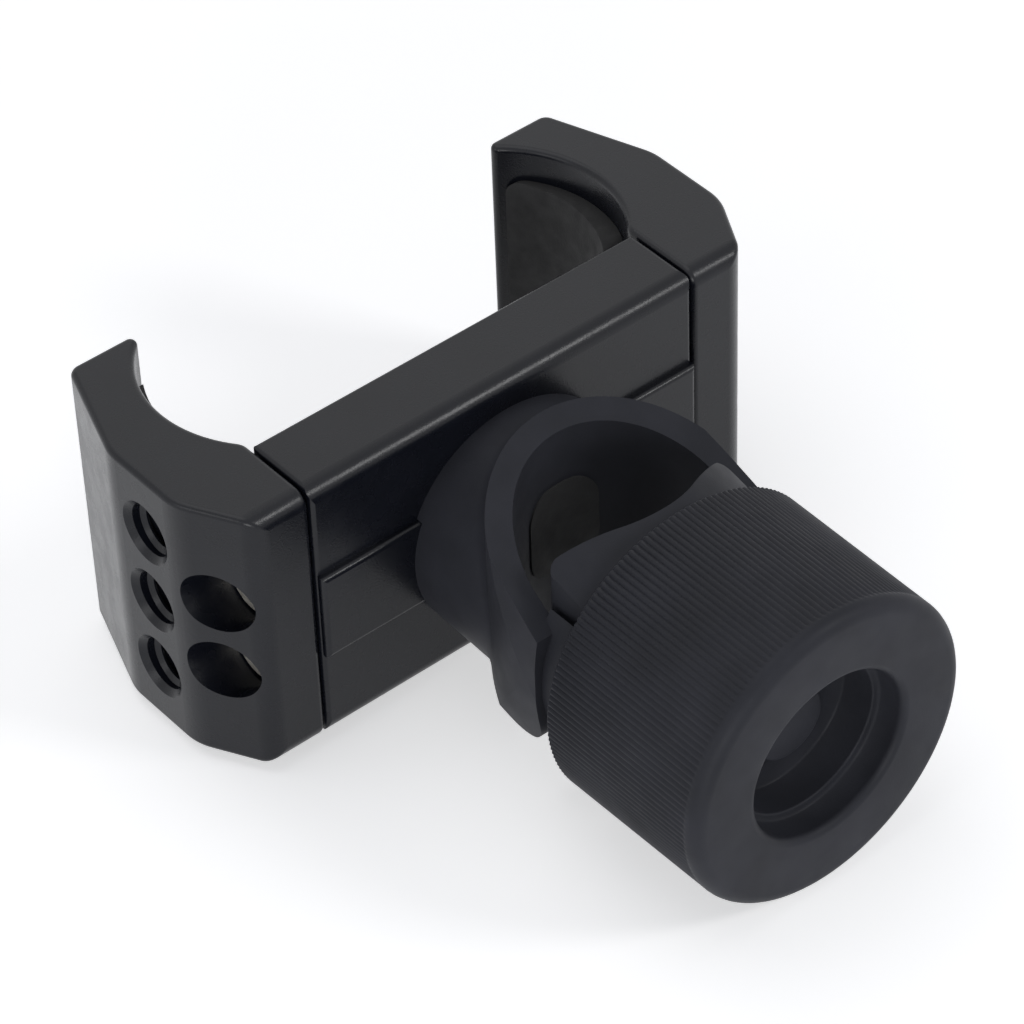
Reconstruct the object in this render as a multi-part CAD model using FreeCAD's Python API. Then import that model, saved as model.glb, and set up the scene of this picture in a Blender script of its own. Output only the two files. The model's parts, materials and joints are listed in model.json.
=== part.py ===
import FreeCAD, Part
import math
import os

# Power bank clamp mount: a spring jaw clamp for a flat pack, with a screw
# clamp for a round pole on its front.
#
# Frame: X runs along the housing, -Y points to the front, along the knob's
# axis, +Z is up. The origin is the centre of the housing's front face, on
# the knob's axis. Every length is in millimetres.

V = FreeCAD.Vector
X_AXIS = V(1, 0, 0)
Y_AXIS = V(0, 1, 0)
Z_AXIS = V(0, 0, 1)
FRONT = V(0, -1, 0)
ORIGIN = V(0, 0, 0)

# Housing, a solid bar with a raised band along its front face
housing_length = 53.0
housing_depth = 9.9
bar_height = 35.7
bar_front_radius = 2.0
bar_back_radius = 0.4
housing_end_radius = 0.6
band_height = 11.5
band_proud = 0.9
band_edge_radius = 0.6

# Jaws, measured outwards from the housing's end and back from its front
jaw_gap = 0.25
jaw_front_flat = 7.3
jaw_facet_run = 4.5
jaw_facet_depth = 8.3
jaw_side_end = 19.6
jaw_tip_width = 7.0
jaw_depth = 33.2
jaw_facet_radius = 3.0
jaw_side_radius = 7.0
jaw_heel_radius = 1.5
jaw_edge_radius = 0.7
pocket_radius = 15.0
pocket_reach = 3.8
pocket_centre_depth = 20.7
pocket_tip_rounding = 0.8
pocket_foot_rounding = 2.0

# Threaded accessory holes in the outer side of each jaw
accessory_hole_radius = 3.2
accessory_hole_depth = 6.0
accessory_hole_pitch = 9.8
accessory_hole_back = 14.0
accessory_hole_count = 3
accessory_chamfer = 0.7

# Rubber pads in the jaws' pockets
pad_height = 27.0
pad_foot = 13.2
pad_tip = 31.0
pad_face_radius = 15.3
pad_face_reach = 1.8
pad_face_depth = 22.4
pad_corner_radius = 1.8
pad_edge_radius = 0.4
glue_line = 0.02

# Guide rods, their bushes, screws, springs and stops
rod_radius = 3.0
rod_pitch = 9.74
rod_back = 4.7
rod_thread_depth = 9.0
bore_radius = 3.8
bore_end_wall = 5.0
bush_length = 6.0
sliding_clearance = 0.03
jaw_screw_radius = 2.0
jaw_screw_head_radius = 3.5
jaw_screw_head_height = 2.8
jaw_screw_key_width = 3.0
jaw_screw_key_depth = 1.6
rod_screw_bite = 6.0
housing_screw_end_gap = 0.35
counterbore_radius = 3.9
counterbore_floor = 2.3
spring_inner_radius = 3.15
spring_outer_radius = 3.65
spring_wire_width = 0.6
spring_coils = 8
spring_end_gap = 0.1
stop_washer_radius = 3.6
stop_washer_thickness = 1.0
stop_screw_radius = 1.5
stop_screw_head_radius = 2.75
stop_screw_head_height = 1.65
stop_screw_bite = 6.0
stop_end_gap = 0.6

# Screws that hold the pole clamp to the housing
mounting_screw_radius = 2.0
mounting_screw_head_radius = 3.7
mounting_screw_length = 16.0
mounting_screw_offset = 11.2
mounting_key_width = 2.5
mounting_key_depth = 1.8

# Pole clamp: round foot, sloping ring and the two threaded legs
foot_radius = 14.07
foot_front_radius = 14.4
foot_length = 12.0
foot_root_length = 18.0
pole_radius = 13.1
pole_centre = -21.4
ring_radius = 16.85
ring_centre = -22.75
ring_top_at_axis = 20.84
ring_bottom_at_axis = 1.7
ring_slope = 0.571
ring_side_radius = 35.0
ring_side_middle = 1.0
foot_flare_radius = 3.0
leg_shoulder = -24.2
leg_heel_radius = 4.0
neck_radius = 15.9
neck_end = -38.9
leg_slot_half_width = 13.15
groove_clearance = 0.1
ring_pad_recess = 1.0
ring_pad_proud = 0.2
ring_pad_half_width = 4.8
ring_pad_bottom = -3.1
ring_pad_top = 8.9
ring_pad_corner_radius = 3.5

# Knob, a deep nut that runs on the legs
knob_rear = -28.2
knob_front = -51.5
knob_rear_radius = 18.93
knob_front_radius = 18.7
knob_front_rounding = 1.7
knob_rear_rounding = 0.4
knob_thread_clearance = 0.08
knob_web_front = -43.4
knob_web_thickness = 2.8
knob_boss_radius = 4.5
knob_boss_height = 1.8
knob_bore_radius = 9.3
knob_mouth_radius = 10.25
knob_mouth_depth = 3.7
knob_mouth_rounding = 0.9

# Saddle that presses on the pole, and what holds it in the knob
saddle_tip_radius = 17.8
saddle_front_radius = 16.8
saddle_half_width = 12.4
saddle_wing_tip = -21.3
saddle_head_gap = 0.6
saddle_body_radius = 15.5
saddle_body_half_width = 13.0
saddle_groove_half_width = 11.2
saddle_groove_slope = 0.51
saddle_groove_rounding = 11.0
saddle_wing_rounding = 1.0
saddle_edge_radius = 0.3
thrust_washer_radius = 10.0
thrust_washer_thickness = 1.0
thrust_gap = 0.1
keeper_seat = -31.0
keeper_space_radius = 5.2
keeper_washer_radius = 5.0
keeper_washer_thickness = 0.8
keeper_head_radius = 4.5
keeper_head_height = 2.5
keeper_key_width = 4.0
keeper_key_depth = 1.6
keeper_shoulder_radius = 3.0
keeper_thread_radius = 2.5
keeper_thread_length = 4.2

# Places worked out from the sizes above
half_length = housing_length / 2
half_height = bar_height / 2
jaw_plane = half_length + jaw_gap
pocket_centre = half_length + pocket_reach - pocket_radius
rod_heights = (-rod_pitch / 2, rod_pitch / 2)
bore_depth = housing_length - bore_end_wall
bore_end = half_length - bore_end_wall
rod_start = -jaw_plane
rod_end = bore_end - stop_end_gap - stop_screw_head_height - stop_washer_thickness
rod_length = rod_end - rod_start
housing_screw_bite = jaw_gap + bore_end_wall - housing_screw_end_gap
counterbore_floor_plane = jaw_plane + counterbore_floor
bush_inner_end = -half_length + bush_length
screw_heights = (-mounting_screw_offset, mounting_screw_offset)
knob_web_rear = knob_web_front + knob_web_thickness
cavity_radius = neck_radius + knob_thread_clearance
saddle_head_front = knob_rear + saddle_head_gap
saddle_shoulder = knob_web_rear + thrust_washer_thickness + 2 * thrust_gap
pad_face_centre = half_length + pad_face_reach - pad_face_radius


def cylinder(radius, start, direction, length):
    """A round bar from a point along a direction."""
    return Part.makeCylinder(radius, length, start, direction)


def centred_box(size_x, size_y, size_z, centre):
    """A box about its centre."""
    corner = V(centre.x - size_x / 2, centre.y - size_y / 2, centre.z - size_z / 2)
    return Part.makeBox(size_x, size_y, size_z, corner)


def rounded_face(corners, place):
    """A flat face from (u, v, radius) corners; place turns (u, v) into a point."""
    count = len(corners)
    starts = []
    ends = []
    middles = []
    for i in range(count):
        u, v, radius = corners[i]
        before = corners[i - 1]
        after = corners[(i + 1) % count]
        corner = V(u, v, 0)
        back = V(before[0] - u, before[1] - v, 0).normalize()
        ahead = V(after[0] - u, after[1] - v, 0).normalize()
        half_turn = back.getAngle(ahead) / 2
        cut = radius / math.tan(half_turn)
        bisector = (back + ahead).normalize()
        starts.append(corner + back * cut)
        ends.append(corner + ahead * cut)
        middles.append(corner + bisector * (radius / math.sin(half_turn) - radius))
    edges = []
    for i in range(count):
        if corners[i][2] > 0:
            points = [place(p) for p in (starts[i], middles[i], ends[i])]
            edges.append(Part.Arc(*points).toShape())
        following = starts[(i + 1) % count]
        if (following - ends[i]).Length > 1e-6:
            edges.append(Part.makeLine(place(ends[i]), place(following)))
    return Part.Face(Part.Wire(Part.__sortEdges__(edges)))


def plan_prism(corners, bottom, top):
    """A prism from a plan outline of (x, y, radius) corners."""
    face = rounded_face(corners, lambda p: V(p.x, p.y, bottom))
    return face.extrude(V(0, 0, top - bottom))


def section_prism(corners, left, right):
    """A prism along X from a section of (y, z, radius) corners."""
    face = rounded_face(corners, lambda p: V(left, p.x, p.y))
    return face.extrude(V(right - left, 0, 0))


def front_prism(corners, front, back):
    """A prism along Y from a front outline of (x, z, radius) corners."""
    face = rounded_face(corners, lambda p: V(p.x, front, p.y))
    return face.extrude(V(0, back - front, 0))


def hexagon_prism(width, start, direction, length):
    """A hexagonal key socket, width measured across its flats."""
    corner_radius = width / math.sqrt(3)
    side = direction.cross(Z_AXIS).normalize()
    points = []
    for i in range(7):
        turn = math.radians(60 * i)
        across = side * (corner_radius * math.cos(turn))
        up = Z_AXIS * (corner_radius * math.sin(turn))
        points.append(start + across + up)
    return Part.Face(Part.makePolygon(points)).extrude(direction * length)


def bar_section(left, right):
    """The drawn bar that the housing and the jaws are cut from."""
    corners = [
        (0, -half_height, bar_front_radius),
        (0, half_height, bar_front_radius),
        (jaw_depth, half_height, 0),
        (jaw_depth, -half_height, 0),
    ]
    return section_prism(corners, left, right)


def mirrored(shape):
    """The same piece on the other side of the housing."""
    return shape.mirror(ORIGIN, X_AXIS)


def save(name, shape):
    """Write one node, and say what it holds."""
    shape.exportStep("parts/" + name + ".step")
    print(name, len(shape.Solids), round(shape.Volume, 2), shape.isValid())


# Housing
def make_housing():
    section = section_prism([
        (0, -half_height, bar_front_radius),
        (0, half_height, bar_front_radius),
        (housing_depth, half_height, bar_back_radius),
        (housing_depth, -half_height, bar_back_radius),
    ], -half_length, half_length)
    front = front_prism([
        (-half_length, -half_height, housing_end_radius),
        (half_length, -half_height, housing_end_radius),
        (half_length, half_height, housing_end_radius),
        (-half_length, half_height, housing_end_radius),
    ], 0, housing_depth)
    plan = plan_prism([
        (-half_length, 0, housing_end_radius),
        (half_length, 0, housing_end_radius),
        (half_length, housing_depth, bar_back_radius),
        (-half_length, housing_depth, bar_back_radius),
    ], -half_height, half_height)
    bar = section.common(front).common(plan)
    band_section = section_prism([
        (-band_proud, -band_height / 2, band_edge_radius),
        (-band_proud, band_height / 2, band_edge_radius),
        (bar_front_radius, band_height / 2, 0),
        (bar_front_radius, -band_height / 2, 0),
    ], -half_length, half_length)
    band_plan = plan_prism([
        (-half_length, -band_proud, band_edge_radius),
        (half_length, -band_proud, band_edge_radius),
        (half_length - housing_end_radius, bar_front_radius, 0),
        (-half_length + housing_end_radius, bar_front_radius, 0),
    ], -half_height, half_height)
    body = bar.fuse(band_section.common(band_plan)).removeSplitter()
    for height in rod_heights:
        mouth = V(-half_length, rod_back, height)
        body = body.cut(cylinder(bore_radius, mouth, X_AXIS, bore_depth))
        far_end = V(half_length, rod_back, height)
        body = body.cut(cylinder(jaw_screw_radius, far_end, -X_AXIS, bore_end_wall))
    for height in screw_heights:
        body = body.cut(mounting_screw_space(height))
    return body


def mounting_screw_space(height):
    """The countersunk hole for one clamp screw, open at the housing's back."""
    back = V(0, housing_depth, height)
    hole = cylinder(mounting_screw_radius, back, FRONT, housing_depth + band_proud)
    sink = mounting_screw_head_radius - mounting_screw_radius
    cone = Part.makeCone(mounting_screw_head_radius, mounting_screw_radius, sink, back, FRONT)
    return hole.fuse(cone)


# Jaws and their pads
def make_jaw():
    outline = [
        (jaw_plane, 0, 0),
        (half_length + jaw_front_flat, 0, jaw_facet_radius),
        (half_length + jaw_front_flat + jaw_facet_run, jaw_facet_depth, jaw_side_radius),
        (half_length + jaw_front_flat + jaw_facet_run, jaw_side_end, jaw_side_radius),
        (half_length + jaw_tip_width, jaw_depth, jaw_heel_radius),
        (pocket_centre, jaw_depth, 0),
        (pocket_centre, pocket_centre_depth, 0),
        (jaw_plane, pocket_centre_depth - pocket_radius, 0),
    ]
    blank = plan_prism(outline, -half_height, half_height)
    pocket = cylinder(pocket_radius, V(pocket_centre, pocket_centre_depth, -half_height), Z_AXIS, bar_height)
    inside = Part.makeBox(jaw_plane, pocket_centre_depth, bar_height, V(0, 0, -half_height))
    jaw = blank.cut(pocket).cut(inside)
    jaw = jaw.common(bar_section(0, half_length + jaw_front_flat + jaw_facet_run))
    across = math.sqrt(pocket_radius ** 2 - (jaw_depth - pocket_centre_depth) ** 2)
    tip_corner = upright_edge(jaw, pocket_centre + across, jaw_depth)
    jaw = jaw.makeFillet(pocket_tip_rounding, [tip_corner])
    along = math.sqrt(pocket_radius ** 2 - (jaw_plane - pocket_centre) ** 2)
    foot_corner = upright_edge(jaw, jaw_plane, pocket_centre_depth - along)
    jaw = jaw.makeFillet(pocket_foot_rounding, [foot_corner])
    jaw = jaw.makeFillet(jaw_edge_radius, jaw_rim_edges(jaw))
    for height in rod_heights:
        floor = V(counterbore_floor_plane, rod_back, height)
        jaw = jaw.cut(cylinder(counterbore_radius, floor, X_AXIS, jaw_front_flat + jaw_facet_run))
        jaw = jaw.cut(cylinder(jaw_screw_radius, V(jaw_plane, rod_back, height), X_AXIS, counterbore_floor))
    outer_side = half_length + jaw_front_flat + jaw_facet_run
    for i in range(accessory_hole_count):
        height = (i - (accessory_hole_count - 1) / 2) * accessory_hole_pitch
        mouth = V(outer_side, accessory_hole_back, height)
        jaw = jaw.cut(cylinder(accessory_hole_radius, mouth, -X_AXIS, accessory_hole_depth))
        wide = accessory_hole_radius + accessory_chamfer
        jaw = jaw.cut(Part.makeCone(wide, accessory_hole_radius, accessory_chamfer, mouth, -X_AXIS))
    return jaw


def upright_edge(shape, x, y):
    """The edge that stands upright at a place in the plan."""
    for edge in shape.Edges:
        box = edge.BoundBox
        upright = box.XLength < 1e-4 and box.YLength < 1e-4
        if upright and math.hypot(box.Center.x - x, box.Center.y - y) < 1e-2:
            return edge
    raise ValueError("no upright edge there")


def jaw_rim_edges(jaw):
    """The rim of a jaw's flat top and bottom, apart from its straight seat on the housing."""
    chosen = []
    for edge in jaw.Edges:
        box = edge.BoundBox
        flat = box.ZLength < 1e-6 and abs(abs(box.ZMin) - half_height) < 1e-6
        seat = box.XMax < jaw_plane + 1e-4 and box.YMax < pocket_centre_depth
        if flat and not seat and box.YMin > bar_front_radius - 1e-6 and box.YLength + box.XLength > 1e-3:
            chosen.append(edge)
    return chosen


def make_pad():
    centre = V(pocket_centre, pocket_centre_depth, -pad_height / 2)
    outer = cylinder(pocket_radius - glue_line, centre, Z_AXIS, pad_height)
    face_centre = V(pad_face_centre, pad_face_depth, -pad_height / 2)
    inner = cylinder(pad_face_radius, face_centre, Z_AXIS, pad_height)
    corners = []
    for y, z in ((pad_foot, -1), (pad_tip, -1), (pad_tip, 1), (pad_foot, 1)):
        corners.append((y, z * pad_height / 2, pad_corner_radius))
    window = section_prism(corners, half_length - jaw_tip_width, half_length + jaw_tip_width)
    pad = outer.cut(inner).common(window)
    rim = [edge for edge in pad.Edges if on_pad_face(edge)]
    return pad.makeFillet(pad_edge_radius, rim)


def on_pad_face(edge):
    """Whether an edge lies all along on the pad's curved gripping face."""
    for share in (0.0, 0.5, 1.0):
        place = edge.valueAt(edge.FirstParameter + share * (edge.LastParameter - edge.FirstParameter))
        if abs(math.hypot(place.x - pad_face_centre, place.y - pad_face_depth) - pad_face_radius) > 1e-3:
            return False
    return True


# Jaw screws, rods, bushes, springs and stops
def make_jaw_screw(height, bite):
    floor = V(counterbore_floor_plane, rod_back, height)
    head = cylinder(jaw_screw_head_radius, floor, X_AXIS, jaw_screw_head_height)
    shank = cylinder(jaw_screw_radius, floor, -X_AXIS, counterbore_floor + bite)
    top = V(counterbore_floor_plane + jaw_screw_head_height, rod_back, height)
    socket = hexagon_prism(jaw_screw_key_width, top, -X_AXIS, jaw_screw_key_depth)
    return head.fuse(shank).cut(socket)


def make_jaw_screws(bite):
    return Part.makeCompound([make_jaw_screw(height, bite) for height in rod_heights])


def make_rods():
    rods = []
    for height in rod_heights:
        start = V(rod_start, rod_back, height)
        end = V(rod_end, rod_back, height)
        rod = cylinder(rod_radius, start, X_AXIS, rod_length)
        rod = rod.cut(cylinder(jaw_screw_radius, start, X_AXIS, rod_thread_depth))
        rod = rod.cut(cylinder(stop_screw_radius, end, -X_AXIS, rod_thread_depth))
        rods.append(rod)
    return Part.makeCompound(rods)


def make_bushes():
    bushes = []
    for height in rod_heights:
        mouth = V(-half_length, rod_back, height)
        bush = cylinder(bore_radius, mouth, X_AXIS, bush_length)
        bushes.append(bush.cut(cylinder(rod_radius + sliding_clearance, mouth, X_AXIS, bush_length)))
    return Part.makeCompound(bushes)


def make_stop_washers():
    washers = []
    for height in rod_heights:
        start = V(rod_end, rod_back, height)
        washer = cylinder(stop_washer_radius, start, X_AXIS, stop_washer_thickness)
        washers.append(washer.cut(cylinder(stop_screw_radius, start, X_AXIS, stop_washer_thickness)))
    return Part.makeCompound(washers)


def make_stop_screws():
    screws = []
    for height in rod_heights:
        seat = V(rod_end + stop_washer_thickness, rod_back, height)
        head = cylinder(stop_screw_head_radius, seat, X_AXIS, stop_screw_head_height)
        shank = cylinder(stop_screw_radius, seat, -X_AXIS, stop_washer_thickness + stop_screw_bite)
        screws.append(head.fuse(shank))
    return Part.makeCompound(screws)


def make_springs():
    start = bush_inner_end + spring_wire_width / 2 + spring_end_gap
    end = rod_end - spring_wire_width / 2 - spring_end_gap
    pitch = (end - start) / spring_coils
    springs = []
    for height in rod_heights:
        helix = Part.makeHelix(pitch, end - start, spring_inner_radius)
        corners = []
        for radius, rise in ((spring_inner_radius, -1), (spring_outer_radius, -1),
                             (spring_outer_radius, 1), (spring_inner_radius, 1)):
            corners.append(V(radius, 0, rise * spring_wire_width / 2))
        outline = Part.makePolygon(corners + [corners[0]])
        spring = Part.Wire(helix).makePipeShell([outline], True, True)
        spring.rotate(ORIGIN, Y_AXIS, 90)
        spring.translate(V(start, rod_back, height))
        springs.append(spring)
    return Part.makeCompound(springs)


# Pole clamp
def ring_top(y):
    """Height of the ring's sloping top at a place along Y."""
    return ring_top_at_axis + ring_slope * y


def ring_bottom(y):
    """Height of the ring's sloping bottom at a place along Y."""
    return ring_bottom_at_axis + ring_slope * y


def make_clamp_body():
    tall = 2 * ring_top_at_axis
    foot = Part.makeCone(foot_radius, foot_radius_at(-foot_root_length), foot_root_length, ORIGIN, FRONT)
    body = foot.fuse(make_ring()).removeSplitter()
    body = body.makeFillet(foot_flare_radius, foot_flare_edges(body))
    body = body.cut(section_prism([
        (-foot_length, -tall, 0),
        (-foot_length, ring_bottom(-foot_length), 0),
        (ring_centre, ring_bottom(ring_centre), 0),
        (ring_centre, -tall, 0),
    ], -ring_radius, ring_radius))
    neck = cylinder(neck_radius, V(0, ring_centre, 0), FRONT, ring_centre - neck_end)
    legs = neck.cut(centred_box(2 * leg_slot_half_width, 2 * tall, tall, V(0, neck_end, 0)))
    body = body.fuse(legs)
    slot_length = pole_centre - neck_end
    slot_centre = V(0, pole_centre - slot_length / 2, 0)
    body = body.cut(centred_box(2 * leg_slot_half_width, slot_length, tall, slot_centre))
    body = body.cut(cylinder(pole_radius, V(0, pole_centre, -ring_top_at_axis), Z_AXIS, tall))
    groove_height = band_height + 2 * groove_clearance
    body = body.cut(centred_box(2 * foot_front_radius, 2 * band_proud, groove_height, ORIGIN))
    body = body.cut(ring_pad_shape(pole_radius + ring_pad_recess))
    for height in screw_heights:
        start = V(0, housing_depth, height)
        body = body.cut(cylinder(mounting_screw_radius, start, FRONT, mounting_screw_length))
    return body


def make_ring():
    """The sloping ring before its pole hole, with bulging sides and a rounded heel."""
    slab = section_prism([
        (0, ring_top(0), 0),
        (leg_shoulder, ring_top(leg_shoulder), 0),
        (leg_shoulder, ring_bottom(leg_shoulder), leg_heel_radius),
        (0, ring_bottom(0), 0),
    ], -ring_radius, ring_radius)
    tall = 2 * ring_top_at_axis
    ring = cylinder(ring_radius, V(0, ring_centre, -ring_top_at_axis), Z_AXIS, tall).common(slab)
    for side in (-1, 1):
        side_centre = V(side * (ring_side_radius - ring_radius), 0, ring_side_middle)
        ring = ring.common(cylinder(ring_side_radius, side_centre, FRONT, -leg_shoulder))
    return ring


def foot_radius_at(y):
    """Radius of the slightly flared foot at a place along Y."""
    return foot_radius - (foot_front_radius - foot_radius) * y / foot_length


def foot_flare_edges(body):
    """The edges where the round foot runs into the ring's outer wall."""
    chosen = []
    for edge in body.Edges:
        on_both = True
        for share in (0.25, 0.5, 0.75):
            place = edge.valueAt(edge.FirstParameter + share * (edge.LastParameter - edge.FirstParameter))
            off_foot = abs(math.hypot(place.x, place.z) - foot_radius_at(place.y))
            off_ring = abs(math.hypot(place.x, place.y - ring_centre) - ring_radius)
            on_both = on_both and off_foot < 1e-2 and off_ring < 1e-2
        if on_both:
            chosen.append(edge)
    return chosen


def ring_pad_shape(back_radius):
    """A curved pad on the pole hole's back wall, as deep as a radius from the pole's axis."""
    outline = [
        (-ring_pad_half_width, ring_pad_bottom, ring_pad_corner_radius),
        (ring_pad_half_width, ring_pad_bottom, ring_pad_corner_radius),
        (ring_pad_half_width, ring_pad_top, ring_pad_corner_radius),
        (-ring_pad_half_width, ring_pad_top, ring_pad_corner_radius),
    ]
    window = front_prism(outline, pole_centre, 0)
    height = ring_pad_top - ring_pad_bottom
    outer = cylinder(back_radius, V(0, pole_centre, ring_pad_bottom), Z_AXIS, height)
    inner = cylinder(pole_radius - ring_pad_proud, V(0, pole_centre, ring_pad_bottom), Z_AXIS, height)
    return outer.cut(inner).common(window)


def make_mounting_screws():
    screws = []
    for height in screw_heights:
        back = V(0, housing_depth, height)
        sink = mounting_screw_head_radius - mounting_screw_radius
        head = Part.makeCone(mounting_screw_head_radius, mounting_screw_radius, sink, back, FRONT)
        shank = cylinder(mounting_screw_radius, back, FRONT, mounting_screw_length)
        socket = hexagon_prism(mounting_key_width, back, FRONT, mounting_key_depth)
        screws.append(head.fuse(shank).cut(socket))
    return Part.makeCompound(screws)


# Knob, saddle and what holds them together
def make_knob():
    length = knob_rear - knob_front
    knob = Part.makeCone(knob_rear_radius, knob_front_radius, length, V(0, knob_rear, 0), FRONT)
    knob = knob.makeFillet(knob_front_rounding, [ring_edge(knob, knob_front, knob_front_radius)])
    knob = knob.makeChamfer(knob_rear_rounding, [ring_edge(knob, knob_rear, knob_rear_radius)])
    knob = knob.cut(cylinder(cavity_radius, V(0, knob_rear, 0), FRONT, knob_rear - knob_web_rear))
    knob = knob.cut(cylinder(knob_bore_radius, V(0, knob_web_front, 0), FRONT, length))
    mouth = V(0, knob_front + knob_mouth_depth, 0)
    knob = knob.cut(cylinder(knob_mouth_radius, mouth, FRONT, knob_mouth_depth))
    knob = knob.fuse(cylinder(knob_boss_radius, V(0, knob_web_front, 0), FRONT, knob_boss_height))
    knob = knob.cut(cylinder(keeper_thread_radius, V(0, knob_web_rear, 0), FRONT, keeper_thread_length))
    return knob.makeFillet(knob_mouth_rounding, [ring_edge(knob, knob_front, knob_mouth_radius)])


def ring_edge(shape, y, radius):
    """The round edge of a turned piece at a place along Y."""
    for edge in shape.Edges:
        box = edge.BoundBox
        if box.YLength < 1e-6 and abs(box.YMin - y) < 1e-6 and abs(box.XLength / 2 - radius) < 1e-3:
            return edge
    raise ValueError("no round edge there")


def make_saddle():
    head_length = saddle_wing_tip - saddle_head_front
    wing_tip = V(0, saddle_wing_tip, 0)
    head = Part.makeCone(saddle_tip_radius, saddle_front_radius, head_length, wing_tip, FRONT)
    head = head.makeFillet(saddle_edge_radius, [ring_edge(head, saddle_head_front, saddle_front_radius)])
    groove_floor = saddle_wing_tip - saddle_groove_slope * saddle_groove_half_width
    head = head.common(plan_prism([
        (-saddle_half_width, saddle_head_front, 0),
        (saddle_half_width, saddle_head_front, 0),
        (saddle_half_width, saddle_wing_tip, saddle_wing_rounding),
        (saddle_groove_half_width, saddle_wing_tip, saddle_wing_rounding / 2),
        (0, groove_floor, saddle_groove_rounding),
        (-saddle_groove_half_width, saddle_wing_tip, saddle_wing_rounding / 2),
        (-saddle_half_width, saddle_wing_tip, saddle_wing_rounding),
    ], -saddle_tip_radius, saddle_tip_radius))
    body_length = saddle_head_front - saddle_shoulder
    body = cylinder(saddle_body_radius, V(0, saddle_head_front, 0), FRONT, body_length)
    middle = V(0, saddle_head_front - body_length / 2, 0)
    body_width = 2 * saddle_body_half_width
    body = body.common(centred_box(body_width, body_length, 2 * saddle_body_radius, middle))
    saddle = head.fuse(body).removeSplitter()
    seat = V(0, keeper_seat, 0)
    saddle = saddle.cut(cylinder(keeper_space_radius, seat, Y_AXIS, saddle_wing_tip - keeper_seat))
    shoulder_space = keeper_shoulder_radius + sliding_clearance
    return saddle.cut(cylinder(shoulder_space, seat, FRONT, keeper_seat - saddle_shoulder))


def washer(outer_radius, inner_radius, start, thickness):
    """A flat washer about the knob's axis, from a place on it towards the front."""
    disc = cylinder(outer_radius, start, FRONT, thickness)
    return disc.cut(cylinder(inner_radius, start, FRONT, thickness))


def make_thrust_washer():
    start = V(0, saddle_shoulder - thrust_gap, 0)
    hole = keeper_shoulder_radius + sliding_clearance
    return washer(thrust_washer_radius, hole, start, thrust_washer_thickness)


def make_keeper_washer():
    start = V(0, keeper_seat + keeper_washer_thickness, 0)
    hole = keeper_shoulder_radius + sliding_clearance
    return washer(keeper_washer_radius, hole, start, keeper_washer_thickness)


def make_keeper_screw():
    head_base = keeper_seat + keeper_washer_thickness + thrust_gap
    head_top = V(0, head_base + keeper_head_height, 0)
    head = cylinder(keeper_head_radius, V(0, head_base, 0), Y_AXIS, keeper_head_height)
    shoulder = cylinder(keeper_shoulder_radius, V(0, head_base, 0), FRONT, head_base - knob_web_rear)
    thread = cylinder(keeper_thread_radius, V(0, knob_web_rear, 0), FRONT, keeper_thread_length)
    socket = hexagon_prism(keeper_key_width, head_top, FRONT, keeper_key_depth)
    return head.fuse(shoulder).fuse(thread).cut(socket)


os.makedirs("parts", exist_ok=True)

right_jaw = make_jaw()
right_pad = make_pad()

save("housing", make_housing())
save("rod_bushes", make_bushes())
save("return_springs", make_springs())
save("jaw_right", right_jaw)
save("jaw_right_screws", make_jaw_screws(housing_screw_bite))
save("jaw_right_pad", right_pad)
save("clamp_body", make_clamp_body())
save("ring_pad", ring_pad_shape(pole_radius + ring_pad_recess - glue_line))
save("mounting_screws", make_mounting_screws())
save("jaw_left", mirrored(right_jaw))
save("jaw_left_screws", mirrored(make_jaw_screws(rod_screw_bite)))
save("jaw_left_pad", mirrored(right_pad))
save("guide_rods", make_rods())
save("stop_washers", make_stop_washers())
save("stop_screws", make_stop_screws())
save("saddle", make_saddle())
save("thrust_washer", make_thrust_washer())
save("keeper_washer", make_keeper_washer())
save("keeper_screw", make_keeper_screw())
save("knob", make_knob())
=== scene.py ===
import json
import math

import bpy
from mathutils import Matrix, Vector


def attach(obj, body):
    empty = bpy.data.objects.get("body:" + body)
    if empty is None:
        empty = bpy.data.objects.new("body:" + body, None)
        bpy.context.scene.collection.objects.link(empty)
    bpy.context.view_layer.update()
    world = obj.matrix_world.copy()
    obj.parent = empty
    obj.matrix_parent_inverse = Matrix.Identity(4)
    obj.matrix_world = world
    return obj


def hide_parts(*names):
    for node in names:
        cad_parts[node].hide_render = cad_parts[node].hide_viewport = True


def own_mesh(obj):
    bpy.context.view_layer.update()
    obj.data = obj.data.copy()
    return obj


# Power bank clamp mount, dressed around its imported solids.
#
# The solids of the metal and moulded pieces stay and get their materials.
# The knurled knob, the rubber pads, the liner and the threads are modelled here.
# Frame: X along the housing, -Y to the front along the knob's axis, Z up.

bl_info = {
    "name": "Power bank clamp mount",
    "version": (1, 0, 0),
    "blender": (4, 5, 0),
    "location": "3D View > Sidebar > Clamp Mount",
    "description": "Dresses the solids of a power bank clamp mount and sets its stage",
    "category": "Object",
}

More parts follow.
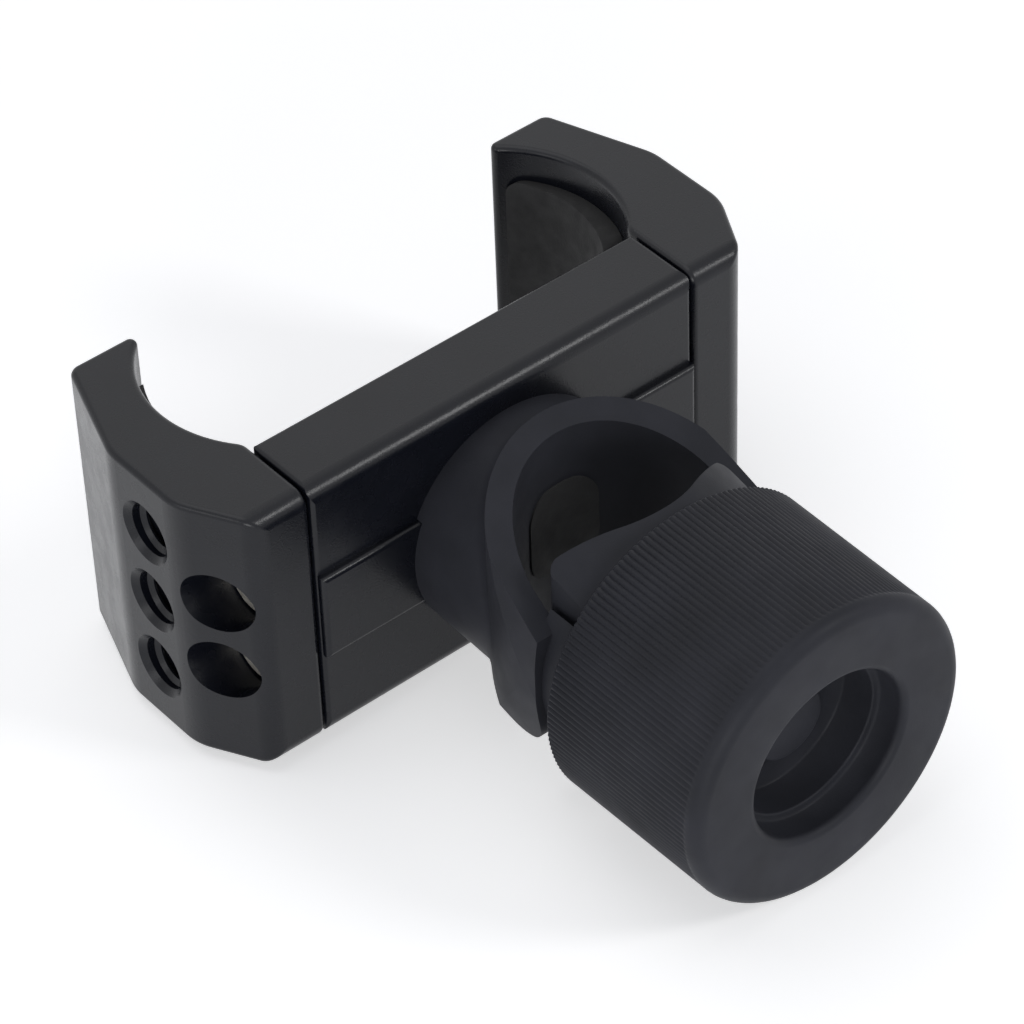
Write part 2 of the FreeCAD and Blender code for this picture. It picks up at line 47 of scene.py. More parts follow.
MM = 0.001
FULL_TURN = 2 * math.pi
HALF_TURN = math.pi
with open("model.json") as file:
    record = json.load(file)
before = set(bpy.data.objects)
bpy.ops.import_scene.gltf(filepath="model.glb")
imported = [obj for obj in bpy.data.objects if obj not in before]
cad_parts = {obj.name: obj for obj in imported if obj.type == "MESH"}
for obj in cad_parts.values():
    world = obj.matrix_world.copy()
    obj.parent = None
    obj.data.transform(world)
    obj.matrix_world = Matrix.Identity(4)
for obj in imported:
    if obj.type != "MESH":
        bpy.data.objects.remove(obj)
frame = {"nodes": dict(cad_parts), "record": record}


# Settings
def srgb(code):
    """A hex colour as the linear values that a shader takes, by the sRGB standard's curve."""
    toe_end = 0.04045
    toe_slope = 12.92
    offset = 0.055
    gamma = 2.4
    values = []
    for byte in bytes.fromhex(code):
        c = byte / 255
        values.append(c / toe_slope if c <= toe_end else ((c + offset) / (1 + offset)) ** gamma)
    return (*values, 1.0)


def millimetres(name, value, description):
    """A length in metres, written here in millimetres."""
    return bpy.props.FloatProperty(name=name, default=value * MM, description=description, unit="LENGTH",
                                   precision=5)


def colour(name, code, description):
    """A colour, written here as sRGB hex."""
    return bpy.props.FloatVectorProperty(name=name, default=srgb(code), description=description,
                                         subtype="COLOR", size=4, min=0, max=1)


def number(name, value, description):
    """A plain number between nothing and one."""
    return bpy.props.FloatProperty(name=name, default=value, description=description, min=0, max=1)


def watts(name, value):
    """The power of a lamp."""
    return bpy.props.FloatProperty(name=name, default=value, description="Power in watts", min=0)


class FinishSettings(bpy.types.PropertyGroup):
    metal_dark: colour("Anodised, dark", "0e1017", "Darker tone of the anodised aluminium")
    metal_light: colour("Anodised, light", "14161d", "Lighter tone of the anodised aluminium")
    metal_roughness: number("Anodised roughness", 0.27, "Roughness of the anodised aluminium")
    metal_gloss: number("Anodised gloss", 0.3, "Specular level of the anodised aluminium")
    nylon_dark: colour("Moulded, dark", "2a2b30", "Darker tone of the moulded nylon")
    nylon_light: colour("Moulded, light", "323339", "Lighter tone of the moulded nylon")
    nylon_roughness: number("Moulded roughness", 0.5, "Roughness of the moulded nylon")
    nylon_gloss: number("Moulded gloss", 0.13, "Specular level of the moulded nylon")
    rubber_dark: colour("Rubber, dark", "1a1a1b", "Darker tone of the rubber")
    rubber_light: colour("Rubber, light", "222223", "Lighter tone of the rubber")
    rubber_roughness: number("Rubber roughness", 0.8, "Roughness of the rubber")
    steel_dark: colour("Steel, dark", "cdc9bf", "Darker tone of the plated steel")
    steel_light: colour("Steel, light", "d7d3ca", "Lighter tone of the plated steel")
    steel_roughness: number("Steel roughness", 0.5, "Roughness of the plated steel")
    steel_metallic: number("Steel, metallic", 0.75, "How far the plating shines as metal")
    bronze_dark: colour("Bronze, dark", "a98152", "Darker tone of the sintered bronze")
    bronze_light: colour("Bronze, light", "bb9463", "Lighter tone of the sintered bronze")
    bronze_roughness: number("Bronze roughness", 0.5, "Roughness of the sintered bronze")


class KnobSettings(bpy.types.PropertyGroup):
    rear: millimetres("Rear", -28.2, "Where the knob's rear face is, along Y")
    front: millimetres("Front", -51.5, "Where its front face is, along Y")
    rear_radius: millimetres("Rear radius", 18.93, "Over the ribs at the rear")
    front_radius: millimetres("Front radius", 18.7, "Over the ribs at the front")
    front_rounding: millimetres("Front rounding", 1.7, "Radius of the smooth front edge")
    rear_chamfer: millimetres("Rear chamfer", 0.4, "Chamfer at the rear edge")
    cavity_radius: millimetres("Cavity radius", 15.98, "Wall of the threaded cavity")
    web_rear: millimetres("Web rear", -40.6, "Rear side of the inner wall")
    web_front: millimetres("Web front", -43.4, "Front side of the inner wall")
    bore_radius: millimetres("Bore radius", 9.3, "Wall of the hollow in front")
    mouth_radius: millimetres("Mouth radius", 10.25, "Wall of the wider step at the mouth")
    mouth_depth: millimetres("Mouth depth", 3.7, "Depth of the wider step")
    mouth_rounding: millimetres("Mouth rounding", 0.9, "Radius of the mouth's edge")
    step_rounding: millimetres("Step rounding", 0.25, "Radius of the small steps inside")
    boss_radius: millimetres("Boss radius", 4.5, "Boss round the screw's end")
    boss_height: millimetres("Boss height", 1.8, "How far the boss stands off the inner wall")
    screw_radius: millimetres("Screw radius", 2.5, "Hole for the screw")
    screw_depth: millimetres("Screw depth", 4.2, "Depth of the hole for the screw")
    ribs: bpy.props.IntProperty(name="Ribs", default=160, description="Ribs round the knob")
    rib_depth: millimetres("Rib depth", 0.22, "Depth of the valleys between the ribs")


class ThreadSettings(bpy.types.PropertyGroup):
    major_radius: millimetres("Major radius", 3.2, "Wall of the hole, at the thread's root")
    minor_radius: millimetres("Minor radius", 2.62, "Over the thread's crests")
    pitch: millimetres("Pitch", 1.27, "From one turn to the next, 20 to the inch")
    turns: bpy.props.IntProperty(name="Turns", default=3, description="Turns of thread in each hole")
    mouth: millimetres("Mouth", 37.3, "Where the thread starts, outwards from the middle")
    back: millimetres("Back", 14.0, "Where the holes' axes are, along Y")
    spacing: millimetres("Spacing", 9.8, "From one hole to the next, up the jaw")
    holes: bpy.props.IntProperty(name="Holes", default=3, description="Holes in each jaw")


class PadSettings(bpy.types.PropertyGroup):
    back_centre: millimetres("Back centre", 15.3, "Centre of the pocket's arc, outwards from the middle")
    back_depth: millimetres("Back depth", 20.7, "Centre of the pocket's arc, along Y")
    back_radius: millimetres("Back radius", 14.96, "Radius of the pad's glued side")
    face_centre: millimetres("Face centre", 13.0, "Centre of the gripping face's arc")
    face_depth: millimetres("Face depth", 22.4, "Centre of the gripping face's arc, along Y")
    face_radius: millimetres("Face radius", 15.3, "Radius of the gripping face")
    foot: millimetres("Foot", 13.2, "Where the pad starts, along Y")
    tip: millimetres("Tip", 31.0, "Where the pad ends, along Y")
    height: millimetres("Height", 27.0, "Height of the pad")
    corner: millimetres("Corner", 1.8, "Radius of its four corners")
    edge: millimetres("Edge", 0.4, "Rounding along its gripping side")


class SpringSettings(bpy.types.PropertyGroup):
    fixed_end: millimetres("Fixed end", -20.5, "End that stands on the bushes, along X")
    free_end: millimetres("Free end", 18.15, "End at the stop washers when the jaw is in, along X")
    travel: millimetres("Travel", 28, "How far the free end moves in as the jaw is pulled out")


class LinerSettings(bpy.types.PropertyGroup):
    pole_centre: millimetres("Pole centre", -21.4, "Axis of the pole hole, along Y")
    back_radius: millimetres("Back radius", 14.06, "Radius of the liner's glued side")
    face_radius: millimetres("Face radius", 12.9, "Radius of its face")
    half_width: millimetres("Half width", 4.8, "Half its width")
    bottom: millimetres("Bottom", -3.1, "Its lower end")
    top: millimetres("Top", 8.9, "Its upper end")
    corner: millimetres("Corner", 3.5, "Radius of its corners")


class StageSettings(bpy.types.PropertyGroup):
    floor_level: millimetres("Floor level", -19.2, "Height of the floor")
    floor_size: millimetres("Floor size", 6000, "Side of the floor")
    paper_dark: colour("Paper, dark", "fdfdfd", "Darker tone of the floor's paper")
    paper_light: colour("Paper, light", "ffffff", "Lighter tone of the floor's paper")
    floor_glow_seen: number("Floor glow, seen", 0.52, "Glow of the floor where it is seen")
    floor_glow_unseen: number("Floor glow, unseen", 0.1, "Glow of the floor as it lights the object")
    high_lamp: watts("High lamp", 1.5)
    left_lamp: watts("Left lamp", 0.4)
    edge_lamp: watts("Edge lamp", 1.2)
    front_lamp: watts("Front lamp", 2.0)
    back_lamp: watts("Back lamp", 0.35)
    sky: colour("Sky", "eef2ff", "Colour of the light from all round")
    sky_strength: number("Sky strength", 0.2, "Strength of the light from all round")
    lens: bpy.props.FloatProperty(name="Lens", default=164.215, description="Focal length in millimetres")
    sensor_width: bpy.props.FloatProperty(name="Sensor width", default=36, description="In millimetres")
    camera_place: bpy.props.FloatVectorProperty(
        name="Camera place", default=(-0.234625, -0.29668, 0.342303), description="Where the camera stands",
        subtype="TRANSLATION", unit="LENGTH", precision=6)
    camera_turn: bpy.props.FloatVectorProperty(
        name="Camera turn", default=tuple(math.radians(v) for v in (47.7598, 1.69006, -39.89735)),
        description="How the camera is turned", subtype="EULER", unit="ROTATION", precision=6)


# Materials
MOTTLE_LOW_STOP = 0.3
MOTTLE_HIGH_STOP = 0.7


def add_node(tree, kind, inputs=None, **settings):
    """One shader node with its settings, and its inputs set or linked."""
    node = tree.nodes.new(kind)
    for name, value in settings.items():
        setattr(node, name, value)
    for name, value in (inputs or {}).items():
        if isinstance(value, bpy.types.NodeSocket):
            tree.links.new(value, node.inputs[name])
        else:
            node.inputs[name].default_value = value
    return node


def surface(name, roughness, metallic=0.0, gloss=0.5):
    """A new material, its node tree, its shader and Object coordinates."""
    material = bpy.data.materials.new(name)
    material.use_nodes = True
    tree = material.node_tree
    shader = tree.nodes["Principled BSDF"]
    shader.inputs["Roughness"].default_value = roughness
    shader.inputs["Metallic"].default_value = metallic
    shader.inputs["Specular IOR Level"].default_value = gloss
    place = add_node(tree, "ShaderNodeTexCoord").outputs["Object"]
    return material, tree, shader, place


def grain(tree, shader, place, size_mm, height_mm, strength):
    """Fine bumps of a given size."""
    scale = 1 / (size_mm * MM)
    noise = add_node(tree, "ShaderNodeTexNoise", {"Vector": place, "Scale": scale, "Detail": 2.0})
    bump = add_node(tree, "ShaderNodeBump", {"Height": noise.outputs["Fac"], "Distance": height_mm * MM,
                                             "Strength": strength})
    tree.links.new(bump.outputs["Normal"], shader.inputs["Normal"])


def mottle(tree, shader, place, size_mm, low, high, socket="Base Color"):
    """Slow change over the surface between two colours, or two values of another socket."""
    scale = 1 / (size_mm * MM)
    noise = add_node(tree, "ShaderNodeTexNoise", {"Vector": place, "Scale": scale, "Detail": 3.0})
    ramp = add_node(tree, "ShaderNodeValToRGB", {"Fac": noise.outputs["Fac"]})
    stops = ramp.color_ramp.elements
    stops[0].position = MOTTLE_LOW_STOP
    stops[1].position = MOTTLE_HIGH_STOP
    stops[0].color = low
    stops[1].color = high
    tree.links.new(ramp.outputs["Color"], shader.inputs[socket])


def grey(value):
    """A grey of one linear value."""
    return (value, value, value, 1.0)


def wear(tree, shader, place, size_mm, roughness, spread):
    """Slow change of the roughness, as far either way as the spread."""
    low = grey(roughness - spread)
    high = grey(roughness + spread)
    mottle(tree, shader, place, size_mm, low, high, socket="Roughness")


def black_anodised(f):
    """Bead-blasted aluminium, anodised satin black."""
    rough = f.metal_roughness
    material, tree, shader, place = surface("black anodised aluminium", rough, gloss=f.metal_gloss)
    mottle(tree, shader, place, size_mm=9.0, low=f.metal_dark, high=f.metal_light)
    wear(tree, shader, place, size_mm=3.0, roughness=rough, spread=0.03)
    grain(tree, shader, place, size_mm=0.22, height_mm=0.03, strength=0.5)
    return material


def black_moulded(f):
    """Glass-filled nylon, moulded with a fine spark grain."""
    rough = f.nylon_roughness
    material, tree, shader, place = surface("black moulded nylon", rough, gloss=f.nylon_gloss)
    mottle(tree, shader, place, size_mm=7.0, low=f.nylon_dark, high=f.nylon_light)
    wear(tree, shader, place, size_mm=2.5, roughness=rough, spread=0.04)
    grain(tree, shader, place, size_mm=0.22, height_mm=0.03, strength=0.45)
    return material


def black_rubber(f):
    """Matt moulded rubber, slightly dusty."""
    rough = f.rubber_roughness
    material, tree, shader, place = surface("black rubber", rough)
    mottle(tree, shader, place, size_mm=5.0, low=f.rubber_dark, high=f.rubber_light)
    wear(tree, shader, place, size_mm=2.0, roughness=rough, spread=0.07)
    grain(tree, shader, place, size_mm=0.3, height_mm=0.05, strength=0.5)
    return material


def bright_steel(f):
    """Zinc-plated steel screws and turned rods."""
    rough = f.steel_roughness
    material, tree, shader, place = surface("zinc-plated steel", rough, metallic=f.steel_metallic)
    mottle(tree, shader, place, size_mm=2.0, low=f.steel_dark, high=f.steel_light)
    wear(tree, shader, place, size_mm=1.0, roughness=rough, spread=0.06)
    grain(tree, shader, place, size_mm=0.12, height_mm=0.01, strength=0.3)
    return material


def sintered_bronze(f):
    """Oil-filled sintered bronze bushes."""
    material, tree, shader, place = surface("sintered bronze", f.bronze_roughness, metallic=1.0)
    mottle(tree, shader, place, size_mm=1.5, low=f.bronze_dark, high=f.bronze_light)
    grain(tree, shader, place, size_mm=0.15, height_mm=0.03, strength=0.6)
    return material


def seen_rays(tree):
    """One for rays that show a thing straight on, in gloss or through glass, else nothing."""
    path = add_node(tree, "ShaderNodeLightPath")
    total = path.outputs["Is Camera Ray"]
    for name in ("Is Glossy Ray", "Is Transmission Ray"):
        add = add_node(tree, "ShaderNodeMath", operation="ADD", use_clamp=True)
        tree.links.new(total, add.inputs[0])
        tree.links.new(path.outputs[name], add.inputs[1])
        total = add.outputs[0]
    return total


def pale_floor(s):
    """White studio paper that shows brighter than the light that it gives."""
    material, tree, shader, place = surface("white studio paper", roughness=0.9)
    mottle(tree, shader, place, size_mm=60.0, low=s.paper_dark, high=s.paper_light)
    shader.inputs["Emission Color"].default_value = grey(1.0)
    glow = add_node(tree, "ShaderNodeMapRange", {"Value": seen_rays(tree),
                                                 "To Min": s.floor_glow_unseen, "To Max": s.floor_glow_seen})
    tree.links.new(glow.outputs["Result"], shader.inputs["Emission Strength"])
    return material


FINISHES = {
    "black_anodised": black_anodised,
    "black_moulded": black_moulded,
    "black_rubber": black_rubber,
    "steel": bright_steel,
    "bronze": sintered_bronze,
}


def finish(slot):
    """The one material of a record slot, made when first asked for."""
    label = "slot " + slot
    for material in bpy.data.materials:
        if material.get("slot") == label:
            return material
    material = FINISHES[slot](bpy.context.scene.clamp_mount_finish)
    material["slot"] = label
    return material


# Modelling helpers
SHARP_ANGLE = math.radians(35)


def outline_object(name, points, closed):
    """An object whose mesh is one line through points in metres."""
    mesh = bpy.data.meshes.new(name)
    edges = [(i, i + 1) for i in range(len(points) - 1)]
    if closed:
        edges.append((len(points) - 1, 0))
    mesh.from_pydata(points, edges, [])
    shape = bpy.data.objects.new(name, mesh)
    bpy.context.scene.collection.objects.link(shape)
    choose(shape)
    return shape


def choose(shape):
    """Make one object the selected and active one."""
    bpy.ops.object.select_all(action="DESELECT")
    shape.select_set(True)
    bpy.context.view_layer.objects.active = shape


def apply_modifiers(shape):
    """Make the modifiers part of the mesh, in their order."""
    choose(shape)
    for modifier in list(shape.modifiers):
        bpy.ops.object.modifier_apply(modifier=modifier.name)


def smooth(shape, angle=SHARP_ANGLE):
    """Shade smoothly, apart from edges sharper than the angle."""
    choose(shape)
    bpy.ops.object.shade_smooth_by_angle(angle=angle)


def merge(shape, distance):
    """Join points that lie together, and make the faces look outwards."""
    choose(shape)
    select_all_in_edit()
    bpy.ops.mesh.remove_doubles(threshold=distance)
    bpy.ops.mesh.normals_make_consistent(inside=False)
    close_edit()


def arc(centre, radius, start, end, steps):
    """Points of an arc in a plane, angles in degrees, without the first one."""
    points = []
    for i in range(1, steps + 1):
        turn = math.radians(start + (end - start) * i / steps)
        points.append((centre[0] + radius * math.cos(turn), centre[1] + radius * math.sin(turn)))
    return points


def select_all_in_edit():
    """Open the active object's mesh with everything selected."""
    bpy.ops.object.mode_set(mode="EDIT")
    bpy.ops.mesh.select_all(action="SELECT")


def close_edit():
    """Go back from the mesh to the object."""
    bpy.ops.object.mode_set(mode="OBJECT")


def dress(shape, slot, body, *nodes):
    """Give a new piece its material and its body, and hide the nodes it stands for."""
    shape.data.materials.clear()
    shape.data.materials.append(finish(slot))
    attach(shape, body)
    if nodes:
        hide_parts(*nodes)


# Knob
SMALL_ARC_STEPS = 3
LARGE_ARC_STEPS = 8
RIB_COLUMNS = 4
RIB_FLANK_SHARE = 0.3
RIB_START = 0.35 * MM
PAST_ROUNDING = 0.1 * MM
KNOB_SHARP_ANGLE = math.radians(50)
KNOB_MERGE = 0.004 * MM


def knob_profile(k):
    """The knob's half section as (radius, y), from the axis in front round to the axis behind."""
    edge = k.step_rounding
    mouth = k.mouth_rounding
    rounding = k.front_rounding
    step = k.front + k.mouth_depth
    boss = k.web_front - k.boss_height
    points = [(0, boss), (k.boss_radius - edge, boss)]
    points += arc((k.boss_radius - edge, boss + edge), edge, -90, 0, SMALL_ARC_STEPS)
    points += [(k.boss_radius, k.web_front - edge)]
    points += [(k.boss_radius + edge, k.web_front), (k.bore_radius - edge, k.web_front)]
    points += [(k.bore_radius, k.web_front - edge), (k.bore_radius, step + edge)]
    points += arc((k.bore_radius + edge, step + edge), edge, 180, 270, SMALL_ARC_STEPS)
    points += [(k.mouth_radius - edge, step), (k.mouth_radius, step - edge)]
    points += [(k.mouth_radius, k.front + mouth)]
    points += arc((k.mouth_radius + mouth, k.front + mouth), mouth, 180, 270, LARGE_ARC_STEPS)
    end_radius = k.front_radius - rounding
    points += [(end_radius, k.front)]
    points += arc((end_radius, k.front + rounding), rounding, -90, 0, LARGE_ARC_STEPS)
    points += [(k.front_radius, k.front + rounding + RIB_START)]
    points += [(k.rear_radius, k.rear - k.rear_chamfer), (k.rear_radius - k.rear_chamfer, k.rear)]
    points += [(k.cavity_radius, k.rear), (k.cavity_radius, k.web_rear), (k.screw_radius, k.web_rear)]
    screw_end = k.web_rear - k.screw_depth
    points += [(k.screw_radius, screw_end), (0, screw_end)]
    return points


class OBJECT_OT_clamp_mount_knob(bpy.types.Operator):
    """Model the knurled knob and let it stand for the plain one"""
    bl_idname = "object.clamp_mount_knob"
    bl_label = "Knurled knob"

    def execute(self, context):
        k = context.scene.clamp_mount_knob
        points = [(radius, y, 0) for radius, y in knob_profile(k)]
        knob = outline_object("knurled_knob", points, closed=False)
        rib = FULL_TURN / k.ribs
        valley = RIB_COLUMNS // 2
        select_all_in_edit()
        bpy.ops.mesh.spin(steps=RIB_COLUMNS, angle=rib, center=(0, 0, 0), axis=(0, 1, 0))
        close_edit()
        self.sink(knob, k, valley, k.rib_depth)
        for flank in (valley - 1, valley + 1):
            self.sink(knob, k, flank, RIB_FLANK_SHARE * k.rib_depth)
        select_all_in_edit()
        bpy.ops.mesh.spin(steps=k.ribs, dupli=True, angle=FULL_TURN, center=(0, 0, 0), axis=(0, 1, 0))
        close_edit()
        merge(knob, KNOB_MERGE)
        smooth(knob, KNOB_SHARP_ANGLE)
        dress(knob, "black_moulded", "clamp_knob", "knob")
        return {"FINISHED"}

    def sink(self, knob, k, column, depth):
        """Move one column of a rib's points inwards, where the knob is ribbed."""
        width = FULL_TURN / k.ribs / RIB_COLUMNS
        bpy.ops.object.mode_set(mode="EDIT")
        bpy.ops.mesh.select_all(action="DESELECT")
        close_edit()
        ribbed_end = k.front + k.front_rounding + PAST_ROUNDING
        for vertex in knob.data.vertices:
            radius = math.hypot(vertex.co.x, vertex.co.z)
            turn = abs(math.atan2(vertex.co.z, vertex.co.x))
            in_column = abs(turn - column * width) < width / 4
            outside = radius > k.front_radius - k.rear_chamfer
            vertex.select = in_column and outside and vertex.co.y > ribbed_end
        bpy.ops.object.mode_set(mode="EDIT")
        scale = 1 - depth / k.rear_radius
        bpy.ops.transform.resize(value=(scale, 1, scale), center_override=(0, 0, 0))
        close_edit()


# Threads
THREAD_BITE = 0.03 * MM
THREAD_ROOT_SHARE = 0.44
THREAD_CREST_SHARE = 0.07
THREAD_STEPS = 40


class OBJECT_OT_clamp_mount_threads(bpy.types.Operator):
    """Model the threads in the accessory holes of both jaws"""
    bl_idname = "object.clamp_mount_threads"
    bl_label = "Accessory threads"

    def execute(self, context):
        t = context.scene.clamp_mount_thread
        for name, side, body in (("jaw_left_threads", -1, "sliding_jaw"), ("jaw_right_threads", 1, "mount")):
            turns = []
            for i in range(t.holes):
                height = (i - (t.holes - 1) / 2) * t.spacing
                turns.append(self.thread(t, side, height))
            bpy.ops.object.select_all(action="DESELECT")
            for turn in turns:
                turn.select_set(True)
            bpy.context.view_layer.objects.active = turns[0]
            bpy.ops.object.join()
            threads = bpy.context.object
            threads.name = name
            smooth(threads)
            dress(threads, "black_anodised", body)
        return {"FINISHED"}

    def thread(self, t, side, height):
        """One thread as a coiled ridge, its root just inside the hole's wall."""
        root = t.major_radius + THREAD_BITE
        half_root = THREAD_ROOT_SHARE * t.pitch
        half_crest = THREAD_CREST_SHARE * t.pitch
        outline = [(-half_root, root, 0), (-half_crest, t.minor_radius, 0), (half_crest, t.minor_radius, 0),
                   (half_root, root, 0)]
        ridge = outline_object("thread", outline, closed=True)
        coil = ridge.modifiers.new("coil", "SCREW")
        coil.axis = "X"
        coil.screw_offset = t.pitch
        coil.iterations = t.turns
        coil.steps = THREAD_STEPS
        coil.use_merge_vertices = False
        apply_modifiers(ridge)
        bpy.ops.object.mode_set(mode="EDIT")
        bpy.ops.mesh.select_all(action="DESELECT")
        bpy.ops.mesh.select_non_manifold()
        bpy.ops.mesh.edge_face_add()
        bpy.ops.mesh.select_all(action="SELECT")
        bpy.ops.mesh.normals_make_consistent(inside=False)
        start = -t.turns * t.pitch - half_root
        bpy.ops.transform.translate(value=(t.mouth + start, t.back, height))
        if side < 0:
            bpy.ops.transform.rotate(value=HALF_TURN, orient_axis="Z", center_override=(0, t.back, height))
        close_edit()
        return ridge


# Rubber pads
SLAB_MERGE = 0.001 * MM
CUT_MERGE = 0.002 * MM
CORNER_STEPS = 8
EDGE_STEPS = 3
PAD_STEPS = 160
PAD_INNER_RADIUS = 4 * MM
SPACE_INNER_RADIUS = 2 * MM
PAD_WINDOW_START = 5 * MM
LINER_STEPS = 200
LINER_EDGE = 0.1 * MM
LINER_SHARP_ANGLE = math.radians(40)


def turned_slab(name, centre, face_radius, back_radius, bottom, top, steps):
    """An upright ring between two radii, about an upright axis."""
    rings = ((face_radius, bottom), (back_radius, bottom), (back_radius, top), (face_radius, top))
    points = [(centre[0] + radius, centre[1], z) for radius, z in rings]
    slab = outline_object(name, points, closed=True)
    select_all_in_edit()
    bpy.ops.mesh.spin(steps=steps, angle=FULL_TURN, center=(*centre, 0), axis=(0, 0, 1))
    close_edit()
    merge(slab, SLAB_MERGE)
    return slab


def rounded_block(low, high, axis, corner):
    """A block whose four edges along one axis are rounded."""
    bpy.ops.object.select_all(action="DESELECT")
    centre = (Vector(low) + Vector(high)) / 2
    size = Vector(high) - Vector(low)
    bpy.ops.mesh.primitive_cube_add(size=1)
    block = bpy.context.object
    bpy.ops.object.mode_set(mode="EDIT")
    bpy.ops.transform.resize(value=size, center_override=(0, 0, 0))
    bpy.ops.transform.translate(value=centre)
    bpy.ops.mesh.select_all(action="DESELECT")
    close_edit()
    for edge in block.data.edges:
        start, end = (block.data.vertices[i].co for i in edge.vertices)
        edge.select = abs((start - end)[axis]) > size[axis] / 2
    bpy.ops.object.mode_set(mode="EDIT")
    bpy.ops.mesh.select_mode(type="EDGE")
    bpy.ops.mesh.bevel(offset=corner, segments=CORNER_STEPS)
    bpy.ops.mesh.select_mode(type="VERT")
    close_edit()
    return block


def combine(shape, other, operation):
    """Cut or keep one mesh with another, which goes."""
    cut = shape.modifiers.new("cut", "BOOLEAN")
    cut.operation = operation
    cut.solver = "EXACT"
    cut.object = other
    apply_modifiers(shape)
    bpy.data.objects.remove(other)


def round_edges(shape, width, angle=SHARP_ANGLE):
    """Round the sharp edges all round a small piece."""
    bevel = shape.modifiers.new("rounding", "BEVEL")
    bevel.width = width
    bevel.segments = EDGE_STEPS
    bevel.limit_method = "ANGLE"
    bevel.angle_limit = angle
    bevel.harden_normals = False
    apply_modifiers(shape)


class OBJECT_OT_clamp_mount_pads(bpy.types.Operator):
    """Model the curved rubber pads in the jaws' pockets"""
    bl_idname = "object.clamp_mount_pads"
    bl_label = "Jaw pads"

    def execute(self, context):
        p = context.scene.clamp_mount_pad
        for name, side, body, node in (("left_grip_pad", -1, "sliding_jaw", "jaw_left_pad"),
                                       ("right_grip_pad", 1, "mount", "jaw_right_pad")):
            half = p.height / 2
            back_axis = (p.back_centre, p.back_depth)
            face_axis = (p.face_centre, p.face_depth)
            pad = turned_slab(name, back_axis, PAD_INNER_RADIUS, p.back_radius, -half, half, PAD_STEPS)
            space = turned_slab("space", face_axis, SPACE_INNER_RADIUS, p.face_radius, -p.height, p.height,
                                PAD_STEPS)
            combine(pad, space, "DIFFERENCE")
            low = (p.back_centre + PAD_WINDOW_START, p.foot, -half)
            high = (p.back_centre + 2 * p.back_radius, p.tip, half)
            window = rounded_block(low, high, 0, p.corner)
            combine(pad, window, "INTERSECT")
            merge(pad, CUT_MERGE)
            round_edges(pad, p.edge)
            if side < 0:
                choose(pad)
                select_all_in_edit()
                bpy.ops.transform.rotate(value=HALF_TURN, orient_axis="Y", center_override=(0, 0, 0))
                close_edit()
            smooth(pad)
            dress(pad, "black_rubber", body, node)
        return {"FINISHED"}


class OBJECT_OT_clamp_mount_liner(bpy.types.Operator):
    """Model the rubber liner in the back wall of the pole hole"""
    bl_idname = "object.clamp_mount_liner"
    bl_label = "Pole liner"

    def execute(self, context):
        p = context.scene.clamp_mount_liner
        centre = (0, p.pole_centre)
        liner = turned_slab("pole_liner", centre, p.face_radius, p.back_radius, p.bottom, p.top, LINER_STEPS)
        low = (-p.half_width, p.pole_centre, p.bottom)
        high = (p.half_width, 0, p.top)
        window = rounded_block(low, high, 1, p.corner)
        combine(liner, window, "INTERSECT")
        merge(liner, CUT_MERGE)
        round_edges(liner, LINER_EDGE, LINER_SHARP_ANGLE)
        smooth(liner)
        dress(liner, "black_rubber", "mount", "ring_pad")
        return {"FINISHED"}


class OBJECT_OT_clamp_mount_finishes(bpy.types.Operator):
    """Give the solids that stay their materials"""
    bl_idname = "object.clamp_mount_finishes"
    bl_label = "Finishes"

    def execute(self, context):
        for part in frame["record"]["subparts"]:
            node = frame["nodes"][part["node"]]
            node.data.materials.clear()
            node.data.materials.append(finish(part["material_slot"]))
        return {"FINISHED"}


class OBJECT_OT_clamp_mount_springs(bpy.types.Operator):
    """Give the springs a mesh of their own, not shared with other objects"""
    bl_idname = "object.clamp_mount_springs"
    bl_label = "Return springs"

    def execute(self, context):
        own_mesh(frame["nodes"]["return_springs"])
        return {"FINISHED"}


# Stage
def area_lamp(name, place, size, power):
    """A square soft lamp that looks at the middle of the housing's front."""
    lamp = bpy.data.lights.new(name, "AREA")
    lamp.size = size
    lamp.energy = power
    holder = bpy.data.objects.new(name, lamp)
    bpy.context.scene.collection.objects.link(holder)
    holder.location = place
    holder.rotation_euler = (-Vector(place)).to_track_quat("-Z", "Y").to_euler()


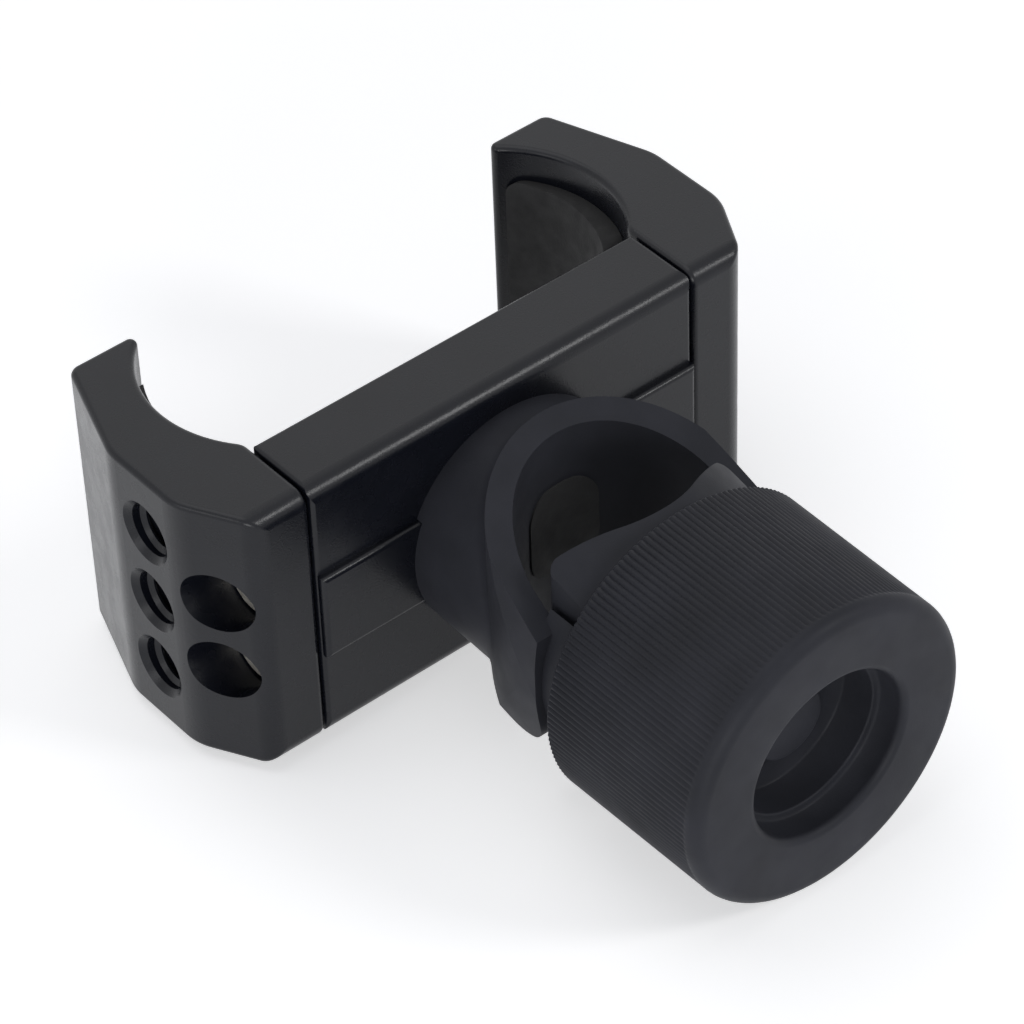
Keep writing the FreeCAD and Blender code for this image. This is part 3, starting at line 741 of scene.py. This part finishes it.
class OBJECT_OT_clamp_mount_stage(bpy.types.Operator):
    """Set the floor, the lamps, the background and the camera"""
    bl_idname = "object.clamp_mount_stage"
    bl_label = "Stage"

    def execute(self, context):
        s = context.scene.clamp_mount_stage
        bpy.ops.object.select_all(action="DESELECT")
        bpy.ops.mesh.primitive_plane_add(size=s.floor_size, location=(0, 0, s.floor_level))
        floor = bpy.context.object
        floor.name = "floor"
        floor.data.materials.append(pale_floor(s))
        area_lamp("lamp_high", place=(-0.1, 0.2, 0.85), size=0.7, power=s.high_lamp)
        area_lamp("lamp_left", place=(-0.7, 0, 0.25), size=0.3, power=s.left_lamp)
        area_lamp("lamp_edge", place=(0.37, -0.54, 0.46), size=0.18, power=s.edge_lamp)
        area_lamp("lamp_front", place=(-0.5, -0.62, 0.12), size=0.35, power=s.front_lamp)
        area_lamp("lamp_back", place=(0.46, 0.58, 0.67), size=0.7, power=s.back_lamp)
        self.background(context.scene, s)
        camera = bpy.data.cameras.new("camera")
        camera.lens = s.lens
        camera.sensor_width = s.sensor_width
        holder = bpy.data.objects.new("camera", camera)
        context.scene.collection.objects.link(holder)
        holder.location = s.camera_place
        holder.rotation_euler = s.camera_turn
        context.scene.camera = holder
        context.scene.view_settings.view_transform = "Standard"
        return {"FINISHED"}

    def background(self, scene, s):
        """White where it is seen, and a dimmer grey as light."""
        world = bpy.data.worlds.new("studio")
        world.use_nodes = True
        scene.world = world
        tree = world.node_tree
        light = tree.nodes["Background"]
        light.inputs["Color"].default_value = s.sky
        light.inputs["Strength"].default_value = s.sky_strength
        seen = add_node(tree, "ShaderNodeBackground", {"Color": grey(1.0), "Strength": 1.0})
        mix = add_node(tree, "ShaderNodeMixShader", {"Fac": seen_rays(tree)})
        tree.links.new(light.outputs["Background"], mix.inputs[1])
        tree.links.new(seen.outputs["Background"], mix.inputs[2])
        tree.links.new(mix.outputs["Shader"], tree.nodes["World Output"].inputs["Surface"])


# Registration
class VIEW3D_PT_clamp_mount(bpy.types.Panel):
    """One button for each step"""
    bl_label = "Clamp Mount"
    bl_space_type = "VIEW_3D"
    bl_region_type = "UI"
    bl_category = "Clamp Mount"

    def draw(self, context):
        for step in STEPS:
            self.layout.operator(step.bl_idname)


STEPS = (
    OBJECT_OT_clamp_mount_finishes,
    OBJECT_OT_clamp_mount_knob,
    OBJECT_OT_clamp_mount_threads,
    OBJECT_OT_clamp_mount_pads,
    OBJECT_OT_clamp_mount_liner,
    OBJECT_OT_clamp_mount_springs,
    OBJECT_OT_clamp_mount_stage,
)
SETTINGS = {
    "clamp_mount_finish": FinishSettings,
    "clamp_mount_knob": KnobSettings,
    "clamp_mount_thread": ThreadSettings,
    "clamp_mount_pad": PadSettings,
    "clamp_mount_liner": LinerSettings,
    "clamp_mount_spring": SpringSettings,
    "clamp_mount_stage": StageSettings,
}


def register():
    """Make the settings, the operators and the panel known to Blender."""
    for name, settings in SETTINGS.items():
        bpy.utils.register_class(settings)
        setattr(bpy.types.Scene, name, bpy.props.PointerProperty(type=settings))
    for step in STEPS:
        bpy.utils.register_class(step)
    bpy.utils.register_class(VIEW3D_PT_clamp_mount)


def unregister():
    """Take them out again, in the opposite order."""
    bpy.utils.unregister_class(VIEW3D_PT_clamp_mount)
    for step in reversed(STEPS):
        bpy.utils.unregister_class(step)
    for name, settings in SETTINGS.items():
        delattr(bpy.types.Scene, name)
        bpy.utils.unregister_class(settings)


def main():
    """Dress the solids and set the stage."""
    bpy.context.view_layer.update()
    register()
    bpy.ops.object.clamp_mount_finishes()
    bpy.ops.object.clamp_mount_knob()
    bpy.ops.object.clamp_mount_threads()
    bpy.ops.object.clamp_mount_pads()
    bpy.ops.object.clamp_mount_liner()
    bpy.ops.object.clamp_mount_springs()
    bpy.ops.object.clamp_mount_stage()


if __name__ == "__main__":
    main()
